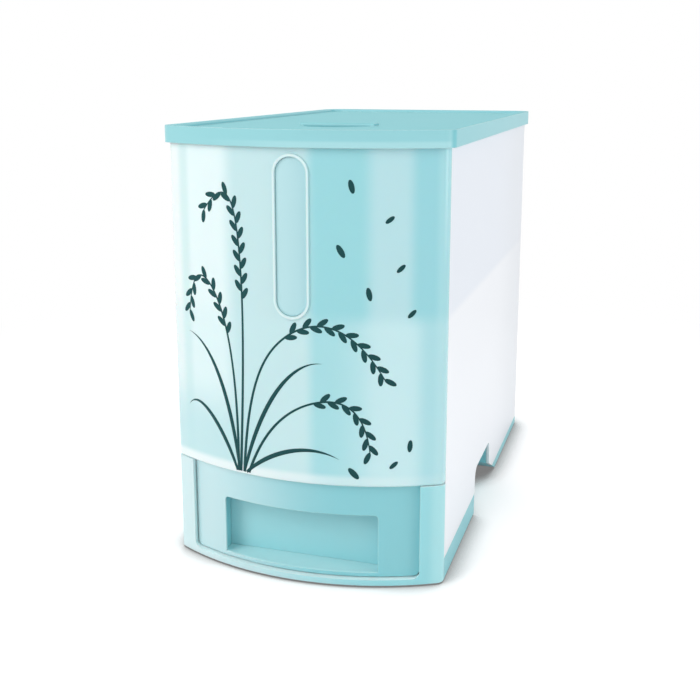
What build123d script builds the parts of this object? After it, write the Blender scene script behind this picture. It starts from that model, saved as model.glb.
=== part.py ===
from build123d import *
import os

os.makedirs("parts", exist_ok=True)

# Rice storage bin, in millimetres. The front faces -Y and the origin is under the middle of the bin.

# Bin walls
body_width = 210.0
body_depth = 380.0  # from the front corners to the back face
front_bow = 28.0  # how far the bowed front stands ahead of its corners
rim_height = 324.0
wall = 2.5
front_corner_radius = 7.0
back_corner_radius = 14.0
front_return = 5.0  # how far the coloured front wraps round each side

# Clearances
joint_gap = 0.2  # between fixed mouldings that locate each other
seam_gap = 0.3  # open line between mouldings that meet edge to edge
slide_gap = 0.3  # under the drawer
guide_gap = 0.6  # at each side of the drawer
reveal = 0.8  # open line round the drawer front
thread_gap = 0.05  # round a screw in its boss

# Base
foot_drop = 1.5  # height of the base above what the bin stands on
base_floor = 3.0
front_strip = 17.0  # height of the base's side strip ahead of the hand grip
back_strip = 7.5  # and behind it
lip_thickness = 2.0
lip_rise = 8.0  # how far the base's inner lip stands up behind the walls
guide_wall = 2.2
guide_length = 290.0
skid_width = 8.0
skid_inset = 26.0  # from the tray's side to the middle of a skid
rib_thickness = 1.8
rib_height = 16.0
back_rib_spacing = 48.0

# Hand grips
grip_setback = 126.0  # from the front corners to the front edge of the notch
grip_length = 72.0
grip_height = 38.5
grip_shoulder = 16.5  # height at which the back edge starts to flare
grip_flare = 36.0
grip_lean = 3.0
grip_depth = 20.0
grip_front_radius = 10.0
grip_back_radius = 4.0

# Drawer bay and its surround
jamb_width = 15.7  # from the body's side to the drawer bay
bay_height = 71.5
sill_height = 4.5
bay_corner_radius = 5.0
frame_depth = 10.0
frame_wall = 2.0
surround_boss_height = 24.0
surround_boss_side = 8.8
surround_boss_setback = 4.0  # behind the front corners

# Front panel
ledge_depth = 9.0
ledge_radius = 2.2
tongue_length = 8.0
rail_length = 13.0
tongue_margin = 15.0  # from the hopper's edge up to the foot of the tongues
tongue_drop = 14.0  # from the rim down to the top of the tongues
window_width = 22.4
window_height = 111.2
window_drop = 11.8  # from the rim down to the top of the window
bead_width = 2.4
bead_rise = 1.0
pane_recess = 0.5
pane_flange = 3.0
pane_thickness = 2.0

# Hopper
sheet = 2.5
outlet_margin = 10.0  # from the tray's side to the outlet
outlet_length = 118.0
outlet_setback = 26.0  # behind the front corners
front_slope_rise = 42.0
side_slope_rise = 42.0
back_slope_rise = 160.0
hopper_ledge = 9.0
deck_margin = 10.6
hopper_gap = 0.4

# Drawer
tray_margin = 13.3  # from the bay's side to the tray
tray_length = 155.0
tray_wall = 2.2
tray_corner_radius = 5.0
tray_setback = -1.0  # front face of the tray, behind the front corners
fascia_inset = 4.0
fascia_thickness = 2.5
fascia_corner_radius = 4.0
pocket_margin = 16.0  # from the tray's side to the finger opening
pocket_height = 45.5
pocket_web = 2.0
pocket_lip = 1.0  # how far the fascia stands up in front of the hollow's floor
pocket_corner_radius = 3.0
drawer_travel = 120.0
shutter_thickness = 2.4
shutter_length = 134.0
shutter_margin = 1.0
skirt_depth = 12.0
leg_width = 14.0
stop_rise = 4.0
hitch_length = 14.0
hitch_thickness = 3.0

# Lid
lid_overhang = 3.5
lid_gap = 1.0
skirt_drop = 5.5  # how far the skirt reaches below the rim
lid_plate = 2.2
lid_rim_rise = 2.5
lid_rim_width = 8.0
lid_lip_gap = 0.6
lid_lip_drop = 7.5
lid_rib_drop = 5.0
lid_edge_radius = 1.8
seal_thickness = 2.0
seal_gap = 0.1
dish_radius = 28.0
dish_depth = 16.0
dish_setback = 81.0  # behind the front corners
grip_bar_width = 14.0
grip_bar_thickness = 4.0
grip_bar_radius = 1.6

# Feet and screws
foot_radius = 8.0
foot_inset = 39.0  # from the body's side to a foot's centre
foot_seat = 1.0
foot_gap = 0.2
screw_sides = 8  # the screws are small, so they are drawn with flats
screw_radius = 1.5
screw_head_radius = 3.2
screw_head_rim = 0.3  # upright edge of a flush head
screw_length = 14.0
short_screw_length = 9.0
pan_head_height = 2.0
boss_side = 9.0
boss_height = 48.0
gusset = 2.0
front_boss_setback = 36.0
boss_inset = 9.5  # from the inner face of a wall to a boss centre

# Levels and planes that follow from the sizes above
half_width = body_width / 2
bay_width = body_width - 2 * jamb_width
tray_width = bay_width - 2 * tray_margin
outlet_width = tray_width - 2 * outlet_margin
pocket_width = tray_width - 2 * pocket_margin
skid_spacing = tray_width - 2 * skid_inset
corner_y = -(body_depth - front_bow) / 2
nose_y = corner_y - front_bow
back_y = corner_y + body_depth
seam_y = corner_y + front_return
base_bottom = foot_drop
floor_top = base_bottom + base_floor
front_strip_top = base_bottom + front_strip
back_strip_top = base_bottom + back_strip
bay_bottom = base_bottom + sill_height
bay_top = bay_bottom + bay_height
panel_bottom = bay_top
tongue_top = rim_height - tongue_drop
window_centre = rim_height - window_drop - window_height / 2
drawer_bottom = bay_bottom + reveal
drawer_top = bay_top - reveal
tray_bottom = bay_bottom + slide_gap
tray_front_y = corner_y + tray_setback
tray_back_y = tray_front_y + tray_length
shutter_bottom = drawer_top - shutter_thickness
shutter_back_y = tray_back_y + joint_gap + shutter_length
deck_top = bay_top + sheet
outlet_front_y = corner_y + outlet_setback
outlet_back_y = outlet_front_y + outlet_length
deck_back_y = shutter_back_y - frame_wall - drawer_travel - slide_gap
slope_top = deck_top + back_slope_rise
tongue_base = deck_top + max(front_slope_rise, side_slope_rise) + tongue_margin
guide_face = tray_width / 2 + guide_gap
guide_front_y = corner_y + frame_depth
guide_back_y = guide_front_y + guide_length
grip_front_y = corner_y + grip_setback
grip_back_y = grip_front_y + grip_length
lip_inner = wall + joint_gap + lip_thickness
plate_bottom = rim_height + seal_gap + seal_thickness
plate_top = plate_bottom + lid_plate
lid_top = plate_top + lid_rim_rise
reach = 2 * (body_width + body_depth + rim_height)


def plan_outline(growth):
    """Plan of the bin with its bowed front; growth moves the outline outwards, or inwards if negative."""
    with BuildSketch() as plan:
        with BuildLine():
            bow = ThreePointArc((-half_width, corner_y), (0, nose_y), (half_width, corner_y))
            Polyline(bow @ 1, (half_width, back_y), (-half_width, back_y), bow @ 0)
        make_face()
        fillet(plan.vertices().group_by(Axis.Y)[-1], back_corner_radius)
        fillet(plan.vertices().group_by(Axis.Y)[0], front_corner_radius)
        if growth:
            offset(amount=growth)
    return plan.sketch


def raise_band(outer, inner, bottom, top, near=-reach, far=reach, within=reach, mode=Mode.ADD):
    """Raise the band of plan between two growths, limited to y from near to far and |x| up to within.

    With inner as None the plan is filled.
    """
    with BuildSketch(Plane.XY.offset(bottom)) as band:
        add(plan_outline(outer))
        if inner is not None:
            add(plan_outline(inner), mode=Mode.SUBTRACT)
        with Locations((0, (near + far) / 2)):
            Rectangle(2 * within, far - near, mode=Mode.INTERSECT)
    extrude(band.sketch, amount=top - bottom, mode=mode)


def front_patch(face, outer, inner):
    """The part of the bowed front behind a face drawn on the XZ plane, between two growths of the plan."""
    with BuildPart() as patch:
        raise_band(outer, inner, 0, rim_height, far=corner_y)
        extrude(face, amount=reach, mode=Mode.INTERSECT)
    return patch.part


def window_outline(growth):
    """Upright stadium outline of the level window on the XZ plane."""
    with BuildSketch(Plane.XZ) as stadium:
        with Locations((0, window_centre)):
            SlotOverall(window_height + 2 * growth, window_width + 2 * growth, rotation=90)
    return stadium.sketch


def grip_outline(growth):
    """Hand notch on the YZ plane: near-upright front edge, and a back edge that flares at its foot."""
    with BuildSketch() as notch:
        with BuildLine():
            Polyline(
                (grip_front_y, 0),
                (grip_front_y + grip_lean, base_bottom + grip_height),
                (grip_back_y, base_bottom + grip_height),
                (grip_back_y + grip_lean, base_bottom + grip_shoulder),
                (grip_back_y + grip_lean + grip_flare, 0),
                close=True,
            )
        make_face()
        top_corners = notch.vertices().group_by(Axis.Y)[-1].sort_by(Axis.X)
        fillet(top_corners[0], grip_front_radius)
        fillet(notch.vertices().group_by(Axis.Y)[-1].sort_by(Axis.X)[-1], grip_back_radius)
        if growth:
            offset(amount=growth)
    return notch.sketch


def countersunk_screw(length, growth=0.0):
    """Screw with a flush head at z = 0 and its shank pointing down; growth makes it such a screw's seat."""
    with BuildPart() as screw:
        cone_depth = screw_head_radius - screw_radius
        with BuildSketch():
            RegularPolygon(screw_head_radius + growth, screw_sides)
        extrude(amount=-screw_head_rim - cone_depth)
        chamfer(screw.edges().group_by(Axis.Z)[0], cone_depth)
        with BuildSketch():
            RegularPolygon(screw_radius + growth, screw_sides)
        extrude(amount=-length - growth)
    return screw.part


def pan_head_screw(length, growth=0.0):
    """Screw with a raised head standing on z = 0 and its shank pointing down, or the seat of such a screw."""
    with BuildPart() as screw:
        with BuildSketch():
            RegularPolygon(screw_head_radius + growth, screw_sides)
        extrude(amount=pan_head_height)
        with BuildSketch():
            RegularPolygon(screw_radius + growth, screw_sides)
        extrude(amount=-length - growth)
    return screw.part


# Places of the fasteners and feet
wall_boss_x = half_width - wall - boss_inset
front_boss_y = corner_y + front_boss_setback
back_boss_y = back_y - wall - boss_inset
back_boss_x = half_width - back_corner_radius - boss_inset
wall_bosses = [(side * wall_boss_x, front_boss_y) for side in (-1, 1)]
back_bosses = [(side * back_boss_x, back_boss_y) for side in (-1, 1)]
surround_boss_x = (bay_width / 2 + frame_wall + half_width - wall) / 2
surround_boss_y = corner_y + surround_boss_setback
surround_bosses = [(side * surround_boss_x, surround_boss_y) for side in (-1, 1)]
base_screw_places = [Location((x, y, base_bottom), (180, 0, 0)) for x, y in wall_bosses + back_bosses]
surround_screw_places = [Location((x, y, base_bottom), (180, 0, 0)) for x, y in surround_bosses]
foot_x = half_width - foot_inset
foot_front_y = corner_y + 2 * foot_radius + frame_depth
foot_back_y = back_y - 4 * foot_radius
fascia_boss_x = tray_width / 2 - tray_corner_radius - screw_head_radius - joint_gap
fascia_boss_height = (drawer_bottom + drawer_top) / 2
fascia_bosses = [(side * fascia_boss_x, tray_front_y, fascia_boss_height) for side in (-1, 1)]
fascia_screw_places = [Location((x, y + tray_wall, z), (-90, 0, 0)) for x, y, z in fascia_bosses]
hitch_screw_x = tray_width / 3
hitch_screw_y = tray_back_y + joint_gap + hitch_length / 2
hitch_bosses = [(side * hitch_screw_x, hitch_screw_y, shutter_bottom) for side in (-1, 1)]
shutter_screw_places = [(x, y, drawer_top) for x, y, _ in hitch_bosses]


# White body: two sides and a back, open at the front
with BuildPart() as body_shell:
    raise_band(0, -wall, back_strip_top, rim_height, near=seam_y)
    # The lower edge steps up over the front strip and round the hand notch
    with BuildSketch(Plane.YZ) as lower_edge:
        with BuildLine():
            Polyline(
                (seam_y - wall, 0),
                (grip_front_y + wall, 0),
                (grip_front_y + wall, front_strip_top),
                (seam_y - wall, front_strip_top),
                close=True,
            )
        make_face()
        add(grip_outline(0))
    extrude(amount=reach, both=True, mode=Mode.SUBTRACT)
    # Upright rails that take the front panel's tongues
    rail_outer = -lip_inner - joint_gap
    rail_inner = rail_outer - lip_thickness
    raise_band(rail_outer, rail_inner, tongue_base, tongue_top, near=seam_y + 1, far=seam_y + rail_length)
    raise_band(
        -wall / 2,
        rail_inner,
        tongue_base,
        tongue_top,
        near=seam_y + tongue_length + seam_gap,
        far=seam_y + rail_length,
    )
    # Ledge on the back wall under the hopper's upper edge
    raise_band(
        -wall / 2,
        -wall - hopper_ledge,
        slope_top - 2 * sheet,
        slope_top - sheet,
        near=back_y - wall - hopper_ledge,
    )
    # Screw bosses that stand on the base, each with a gusset to its wall
    with Locations(*[(x, y, floor_top) for x, y in wall_bosses + back_bosses]):
        Box(boss_side, boss_side, boss_height, align=(Align.CENTER, Align.CENTER, Align.MIN))
    gusset_bottom = front_strip_top + lip_rise + seam_gap
    gusset_height = floor_top + boss_height - gusset_bottom
    for x, y in wall_bosses:
        with Locations((x + (boss_inset + wall / 2) / 2 * (1 if x > 0 else -1), y, gusset_bottom)):
            Box(boss_inset + wall / 2, gusset, gusset_height, align=(Align.CENTER, Align.CENTER, Align.MIN))
    for x, y in back_bosses:
        with Locations((x, y + (boss_inset + wall / 2) / 2, gusset_bottom)):
            Box(gusset, boss_inset + wall / 2, gusset_height, align=(Align.CENTER, Align.CENTER, Align.MIN))
    with Locations(*base_screw_places):
        add(countersunk_screw(screw_length, thread_gap), mode=Mode.SUBTRACT)

# Bowed front cover with the window opening and its bead
with BuildPart() as front_panel:
    raise_band(0, -wall, panel_bottom, rim_height, far=seam_y - seam_gap)
    raise_band(0, -ledge_depth, panel_bottom, panel_bottom + wall, far=seam_y - seam_gap)
    fillet(front_panel.edges().group_by(Axis.Z)[0].sort_by(SortBy.LENGTH)[-1], ledge_radius)
    add(front_patch(window_outline(bead_width), bead_rise, -wall / 2))
    extrude(window_outline(0), amount=reach, mode=Mode.SUBTRACT)
    # Side tongues that slide down behind the body's front edges
    raise_band(
        -wall / 2,
        -lip_inner,
        tongue_base,
        tongue_top,
        near=corner_y,
        far=seam_y - seam_gap,
    )
    raise_band(
        -wall - joint_gap,
        -lip_inner,
        tongue_base,
        tongue_top,
        near=corner_y,
        far=seam_y + tongue_length,
    )

# Clear pane set in from behind, with a flange on the inside
with BuildPart() as level_window:
    add(front_patch(window_outline(-joint_gap), -pane_recess, -wall - joint_gap - pane_thickness / 2))
    add(
        front_patch(
            window_outline(pane_flange),
            -wall - joint_gap,
            -wall - joint_gap - pane_thickness,
        )
    )

# Frame round the drawer: two jambs and a sill
with BuildPart() as drawer_surround:
    surround_top = panel_bottom - seam_gap
    raise_band(0, -wall, base_bottom, surround_top, far=seam_y - seam_gap)
    raise_band(0, -frame_depth, floor_top, surround_top, far=corner_y, within=bay_width / 2 + frame_wall)
    for x, y in surround_bosses:
        with Locations((x, y, floor_top)):
            Box(
                surround_boss_side,
                surround_boss_side,
                surround_boss_height,
                align=(Align.CENTER, Align.CENTER, Align.MIN),
            )
            Box(
                2 * (half_width - wall / 2 - surround_boss_x),
                gusset,
                surround_boss_height,
                align=(Align.CENTER, Align.CENTER, Align.MIN),
            )
    with BuildSketch(Plane.XZ) as bay_opening:
        with Locations((0, bay_bottom)):
            Rectangle(bay_width, reach, align=(Align.CENTER, Align.MIN))
        fillet(bay_opening.vertices().group_by(Axis.Y)[0], bay_corner_radius)
    extrude(amount=reach, both=True, mode=Mode.SUBTRACT)
    with Locations(*surround_screw_places):
        add(countersunk_screw(screw_length, thread_gap), mode=Mode.SUBTRACT)

# Base: floor, side strips, drawer guides and hand-grip pockets
with BuildPart() as base_tray:
    raise_band(0, None, base_bottom, floor_top, near=seam_y)
    raise_band(-wall - joint_gap, None, base_bottom, floor_top, far=seam_y + wall)
    raise_band(0, -wall, base_bottom, front_strip_top - seam_gap, near=seam_y, far=grip_front_y + grip_lean)
    raise_band(0, -wall, base_bottom, back_strip_top - seam_gap, near=grip_back_y)
    raise_band(
        -wall - joint_gap,
        -lip_inner,
        base_bottom,
        front_strip_top + lip_rise,
        near=seam_y + front_return,
        far=grip_front_y,
    )
    raise_band(
        -wall - joint_gap,
        -lip_inner,
        base_bottom,
        back_strip_top + lip_rise,
        near=grip_back_y + grip_lean,
    )
    # Guides and skids for the drawer, tied together at the back
    guide_middle = (guide_front_y + guide_back_y) / 2
    with Locations(*[(side * (guide_face + guide_wall / 2), guide_middle, floor_top) for side in (-1, 1)]):
        Box(guide_wall, guide_length, bay_top - floor_top, align=(Align.CENTER, Align.CENTER, Align.MIN))
    with Locations((0, guide_back_y, floor_top)):
        Box(2 * guide_face, guide_wall, rib_height, align=(Align.CENTER, Align.MAX, Align.MIN))
    skid_front_y = tray_front_y
    skid_length = guide_back_y - skid_front_y - guide_wall / 2
    with Locations(*[(side * skid_spacing / 2, skid_front_y, floor_top) for side in (-1, 1)]):
        Box(skid_width, skid_length, bay_bottom - floor_top, align=(Align.CENTER, Align.MIN, Align.MIN))
    back_rib_length = back_y - wall - joint_gap - lip_thickness / 2 - guide_back_y + guide_wall / 2
    with Locations((0, guide_back_y - guide_wall / 2, floor_top)):
        with GridLocations(back_rib_spacing, 1, 3, 1):
            Box(
                rib_thickness,
                back_rib_length,
                rib_height / 2,
                align=(Align.CENTER, Align.MIN, Align.MIN),
            )
    # Hand-grip pockets, open at the side and underneath
    grip_inner = half_width - wall - joint_gap - grip_depth
    for side in (-1, 1):
        with BuildSketch(Plane.YZ.offset(side * (grip_inner - guide_wall))) as pocket_shell:
            add(grip_outline(guide_wall))
            with Locations((0, base_bottom)):
                Rectangle(2 * reach, reach, align=(Align.CENTER, Align.MIN), mode=Mode.INTERSECT)
        extrude(amount=side * (grip_depth + guide_wall))
    for side in (-1, 1):
        with BuildSketch(Plane.YZ.offset(side * grip_inner)) as pocket_void:
            add(grip_outline(0))
        extrude(amount=side * reach, mode=Mode.SUBTRACT)
    # Countersunk screw holes and seats for the feet, both from below
    with Locations(*base_screw_places, *surround_screw_places):
        add(countersunk_screw(screw_length, joint_gap), mode=Mode.SUBTRACT)
    with Locations(*[(sx * foot_x, y, base_bottom) for sx in (-1, 1) for y in (foot_front_y, foot_back_y)]):
        Cylinder(
            foot_radius + foot_gap,
            foot_seat,
            align=(Align.CENTER, Align.CENTER, Align.MIN),
            mode=Mode.SUBTRACT,
        )

# Hopper: a sheet that slopes to the outlet from all four sides, over a flat deck that roofs the drawer
hopper_edge = wall + hopper_gap
with BuildPart() as funnel:
    with BuildSketch(Plane.YZ):
        with BuildLine():
            Polyline(
                (outlet_front_y, deck_top),
                (outlet_back_y, deck_top),
                (back_y - hopper_edge - hopper_ledge, slope_top),
                (reach, slope_top),
                (reach, reach),
                (-reach, reach),
                (-reach, deck_top + front_slope_rise),
                (nose_y + hopper_edge, deck_top + front_slope_rise),
                close=True,
            )
        make_face()
    extrude(amount=reach, both=True)
    with BuildSketch(Plane.XZ):
        with BuildLine():
            Polyline(
                (-outlet_width / 2, deck_top),
                (outlet_width / 2, deck_top),
                (half_width - hopper_edge, deck_top + side_slope_rise),
                (reach, deck_top + side_slope_rise),
                (reach, reach),
                (-reach, reach),
                (-reach, deck_top + side_slope_rise),
                (-half_width + hopper_edge, deck_top + side_slope_rise),
                close=True,
            )
        make_face()
    extrude(amount=reach, both=True, mode=Mode.INTERSECT)

with BuildPart() as hopper:
    with Locations((0, 0, -sheet)):
        add(funnel.part)
    raise_band(-hopper_edge, None, bay_top, rim_height, mode=Mode.INTERSECT)
    add(funnel.part, mode=Mode.SUBTRACT)
    raise_band(-deck_margin, None, bay_top, deck_top, far=deck_back_y)
    with Locations((0, outlet_front_y, bay_top)):
        Box(
            outlet_width,
            outlet_length,
            sheet,
            align=(Align.CENTER, Align.MIN, Align.MIN),
            mode=Mode.SUBTRACT,
        )

# Drawer tray with a hitch at the back for the shutter
with BuildPart() as drawer_tray:
    with BuildSketch(Plane.XY.offset(tray_bottom)):
        with Locations((0, tray_front_y + tray_length / 2)):
            RectangleRounded(tray_width, tray_length, tray_corner_radius)
    extrude(amount=drawer_top - tray_bottom)
    offset(amount=-tray_wall, openings=drawer_tray.faces().sort_by(Axis.Z)[-1])
    with Locations((0, tray_back_y - tray_wall / 2, shutter_bottom)):
        Box(
            tray_width - 2 * tray_corner_radius,
            hitch_length + tray_wall / 2,
            hitch_thickness,
            align=(Align.CENTER, Align.MIN, Align.MAX),
        )
    with Locations(*hitch_bosses):
        Box(boss_side, boss_side, short_screw_length, align=(Align.CENTER, Align.CENTER, Align.MAX))
    with Locations(*shutter_screw_places):
        add(countersunk_screw(short_screw_length, thread_gap), mode=Mode.SUBTRACT)
    with Locations(*fascia_screw_places):
        add(pan_head_screw(short_screw_length, joint_gap), mode=Mode.SUBTRACT)

# Bowed drawer front: a finger opening with a hollow behind it, closed by the tray's flat front
with BuildPart() as drawer_front:
    fascia_width = bay_width - 2 * reveal
    fascia_back = -fascia_inset - fascia_thickness
    raise_band(-fascia_inset, fascia_back, 0, rim_height, far=corner_y)
    with BuildSketch(Plane.XZ) as fascia_face:
        with Locations((0, drawer_bottom)):
            Rectangle(fascia_width, drawer_top - drawer_bottom, align=(Align.CENTER, Align.MIN))
        fillet(fascia_face.vertices().group_by(Axis.Y)[0], fascia_corner_radius)
    extrude(amount=reach, both=True, mode=Mode.INTERSECT)
    raise_band(
        -fascia_inset,
        None,
        drawer_bottom,
        drawer_top,
        far=tray_front_y,
        within=pocket_width / 2 + 2 * pocket_web,
    )
    with Locations(*fascia_bosses):
        Box(boss_side, front_bow, boss_side, align=(Align.CENTER, Align.MAX, Align.CENTER))
    raise_band(-fascia_inset, None, 0, rim_height, mode=Mode.INTERSECT)
    # The hollow behind the fascia, and the finger opening into it
    raise_band(
        fascia_back,
        None,
        drawer_bottom + pocket_web,
        drawer_top - pocket_web,
        far=tray_front_y,
        within=pocket_width / 2 + pocket_web,
        mode=Mode.SUBTRACT,
    )
    with BuildSketch(Plane.XZ) as finger_opening:
        with Locations((0, drawer_bottom + pocket_web + pocket_lip)):
            Rectangle(pocket_width, pocket_height - pocket_lip, align=(Align.CENTER, Align.MIN))
        fillet(finger_opening.vertices().group_by(Axis.Y)[-1], pocket_corner_radius)
    extrude(amount=reach, mode=Mode.SUBTRACT)
    with Locations(*fascia_screw_places):
        add(pan_head_screw(short_screw_length, thread_gap), mode=Mode.SUBTRACT)

# Shutter that follows the tray and closes the outlet; its raised back edge stops the drawer
with BuildPart() as shutter_plate:
    shutter_width = tray_width - 2 * shutter_margin
    shutter_front_y = tray_back_y + joint_gap
    with Locations((0, shutter_front_y, shutter_bottom)):
        Box(shutter_width, shutter_length, shutter_thickness, align=(Align.CENTER, Align.MIN, Align.MIN))
    with Locations((0, shutter_back_y, shutter_bottom)):
        Box(
            shutter_width,
            frame_wall,
            shutter_thickness + stop_rise,
            align=(Align.CENTER, Align.MAX, Align.MIN),
        )
    for side in (-1, 1):
        with BuildSketch(Plane.YZ.offset(side * shutter_width / 2)) as skirt:
            with BuildLine():
                Polyline(
                    (shutter_front_y + hitch_length + frame_wall, shutter_bottom),
                    (shutter_front_y + hitch_length + frame_wall, shutter_bottom - skirt_depth),
                    (shutter_back_y - leg_width - skirt_depth, shutter_bottom - skirt_depth),
                    (shutter_back_y - leg_width, shutter_bottom - 2 * skirt_depth),
                    (shutter_back_y - leg_width, tray_bottom),
                    (shutter_back_y, tray_bottom),
                    (shutter_back_y, shutter_bottom),
                    close=True,
                )
            make_face()
        extrude(amount=-side * frame_wall)
    with Locations(*shutter_screw_places):
        add(countersunk_screw(short_screw_length, joint_gap), mode=Mode.SUBTRACT)

# Lid: skirt, recessed plate inside a raised rim, inner lip, ribs and the finger dish with its bar
dish_y = corner_y + dish_setback
with BuildPart() as lid:
    raise_band(lid_overhang, None, plate_bottom, lid_top)
    raise_band(lid_overhang - lid_rim_width, None, plate_top, lid_top, mode=Mode.SUBTRACT)
    raise_band(lid_overhang, lid_gap, rim_height - skirt_drop, plate_bottom)
    lid_lip_outer = -wall - lid_lip_gap
    raise_band(lid_lip_outer, lid_lip_outer - lip_thickness, rim_height - lid_lip_drop, plate_bottom)
    rim_edges = lid.edges().group_by(Axis.Z)[-1]
    fillet(rim_edges.sort_by(SortBy.LENGTH)[-1], lid_edge_radius)
    with Locations((0, dish_y, plate_top)):
        Cylinder(
            dish_radius + lid_plate,
            dish_depth + lid_plate,
            align=(Align.CENTER, Align.CENTER, Align.MAX),
        )
        Cylinder(
            dish_radius,
            dish_depth,
            align=(Align.CENTER, Align.CENTER, Align.MAX),
            mode=Mode.SUBTRACT,
        )
    # Stiffening ribs under the plate
    rib_length = body_depth - 2 * (lip_inner + lid_lip_gap)
    with Locations(*[(side * body_width / 4, 0, plate_bottom) for side in (-1, 1)]):
        Box(rib_thickness, rib_length, lid_rib_drop, align=(Align.CENTER, Align.CENTER, Align.MAX))
    with Locations(*[(0, y, plate_bottom) for y in (0, back_y / 2)]):
        Box(
            body_width - 2 * lip_inner,
            rib_thickness,
            lid_rib_drop,
            align=(Align.CENTER, Align.CENTER, Align.MAX),
        )
    with BuildSketch(Plane.YZ) as bar_section:
        with Locations((dish_y, plate_top)):
            RectangleRounded(grip_bar_width, grip_bar_thickness, grip_bar_radius)
    extrude(amount=dish_radius + lid_plate, both=True)

# Soft ring under the lid
with BuildPart() as lid_seal:
    raise_band(lid_gap - seam_gap, lid_lip_outer + seam_gap, rim_height + seal_gap, plate_bottom)

# Screws
with BuildPart() as base_screws:
    with Locations(*base_screw_places):
        add(countersunk_screw(screw_length))

with BuildPart() as surround_screws:
    with Locations(*surround_screw_places):
        add(countersunk_screw(screw_length))

with BuildPart() as shutter_screws:
    with Locations(*shutter_screw_places):
        add(countersunk_screw(short_screw_length))

with BuildPart() as drawer_front_screws:
    with Locations(*fascia_screw_places):
        add(pan_head_screw(short_screw_length))


def rubber_foot(x, y):
    """Round pad let into the underside of the base."""
    with BuildPart() as foot:
        with Locations((x, y, 0)):
            Cylinder(foot_radius, foot_drop + foot_seat, align=(Align.CENTER, Align.CENTER, Align.MIN))
    return foot.part


pieces = {
    "body_shell": body_shell.part,
    "front_panel": front_panel.part,
    "level_window": level_window.part,
    "drawer_surround": drawer_surround.part,
    "base_tray": base_tray.part,
    "hopper": hopper.part,
    "drawer_tray": drawer_tray.part,
    "drawer_front": drawer_front.part,
    "shutter_plate": shutter_plate.part,
    "lid": lid.part,
    "lid_seal": lid_seal.part,
    "base_screws": base_screws.part,
    "surround_screws": surround_screws.part,
    "shutter_screws": shutter_screws.part,
    "drawer_front_screws": drawer_front_screws.part,
    "foot_front_left": rubber_foot(-foot_x, foot_front_y),
    "foot_front_right": rubber_foot(foot_x, foot_front_y),
    "foot_rear_left": rubber_foot(-foot_x, foot_back_y),
    "foot_rear_right": rubber_foot(foot_x, foot_back_y),
}
for name, piece in pieces.items():
    piece.label = name
    export_step(piece, f"parts/{name}.step")
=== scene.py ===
import math

import bpy
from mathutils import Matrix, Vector


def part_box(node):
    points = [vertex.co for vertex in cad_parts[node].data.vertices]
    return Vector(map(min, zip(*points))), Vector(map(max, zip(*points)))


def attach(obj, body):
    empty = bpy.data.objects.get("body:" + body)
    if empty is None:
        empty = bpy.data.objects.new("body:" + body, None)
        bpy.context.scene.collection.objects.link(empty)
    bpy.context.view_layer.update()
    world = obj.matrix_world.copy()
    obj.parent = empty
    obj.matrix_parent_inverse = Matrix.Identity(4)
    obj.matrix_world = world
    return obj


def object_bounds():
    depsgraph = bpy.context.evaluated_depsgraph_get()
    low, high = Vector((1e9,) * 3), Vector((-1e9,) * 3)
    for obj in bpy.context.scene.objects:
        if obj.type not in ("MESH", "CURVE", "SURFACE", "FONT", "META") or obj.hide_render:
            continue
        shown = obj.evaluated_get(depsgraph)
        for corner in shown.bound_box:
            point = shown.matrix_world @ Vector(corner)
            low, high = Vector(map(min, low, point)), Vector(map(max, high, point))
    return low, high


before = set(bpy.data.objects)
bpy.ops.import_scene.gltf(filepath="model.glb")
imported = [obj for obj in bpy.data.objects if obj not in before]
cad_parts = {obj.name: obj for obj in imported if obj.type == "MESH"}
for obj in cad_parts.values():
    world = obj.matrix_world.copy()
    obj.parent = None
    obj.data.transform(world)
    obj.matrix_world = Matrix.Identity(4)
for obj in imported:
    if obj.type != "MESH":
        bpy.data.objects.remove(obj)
cad_low, cad_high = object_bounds()

MM = 0.001

# Places read from the pieces in model.glb
panel_low, panel_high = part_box("front_panel")
drawer_low, drawer_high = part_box("drawer_front")
window_low, window_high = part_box("level_window")
lid_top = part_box("lid")[1].z
body_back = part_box("body_shell")[1].y
half_width = panel_high.x

# The bowed front, as an arc seen from above; the bead round the window stands a little ahead of it
bead_rise = 1.0 * MM
bow_height = 28 * MM
bow_front = panel_low.y + bead_rise
bow_radius = (half_width**2 + bow_height**2) / (2 * bow_height)
bow_centre_y = bow_front + bow_radius

# The level window
pane_flange = 3.0 * MM
bead_width = 2.4 * MM

# The level line of a painted reflected horizon, at which the walls and the front change tone, and how
# softly they do
reflection_horizon_height = 200 * MM
wall_line_blend = 5 * MM
front_line_blend = 10 * MM

# Camera, from the fit to the photograph
image_pixels = 700
focal_pixels = 1010.2
horizon_shift_pixels = 70
camera_place = Vector((243.0, -847.9, 365.7)) * MM
camera_yaw = math.radians(17.27)
camera_pitch = math.radians(11.41)
sensor_width = 36.0

# Node socket types
FLOAT = "NodeSocketFloat"
WHOLE = "NodeSocketInt"
VECTOR = "NodeSocketVector"
COLOUR = "NodeSocketColor"
GEOMETRY = "NodeSocketGeometry"
MATERIAL = "NodeSocketMaterial"


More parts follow.
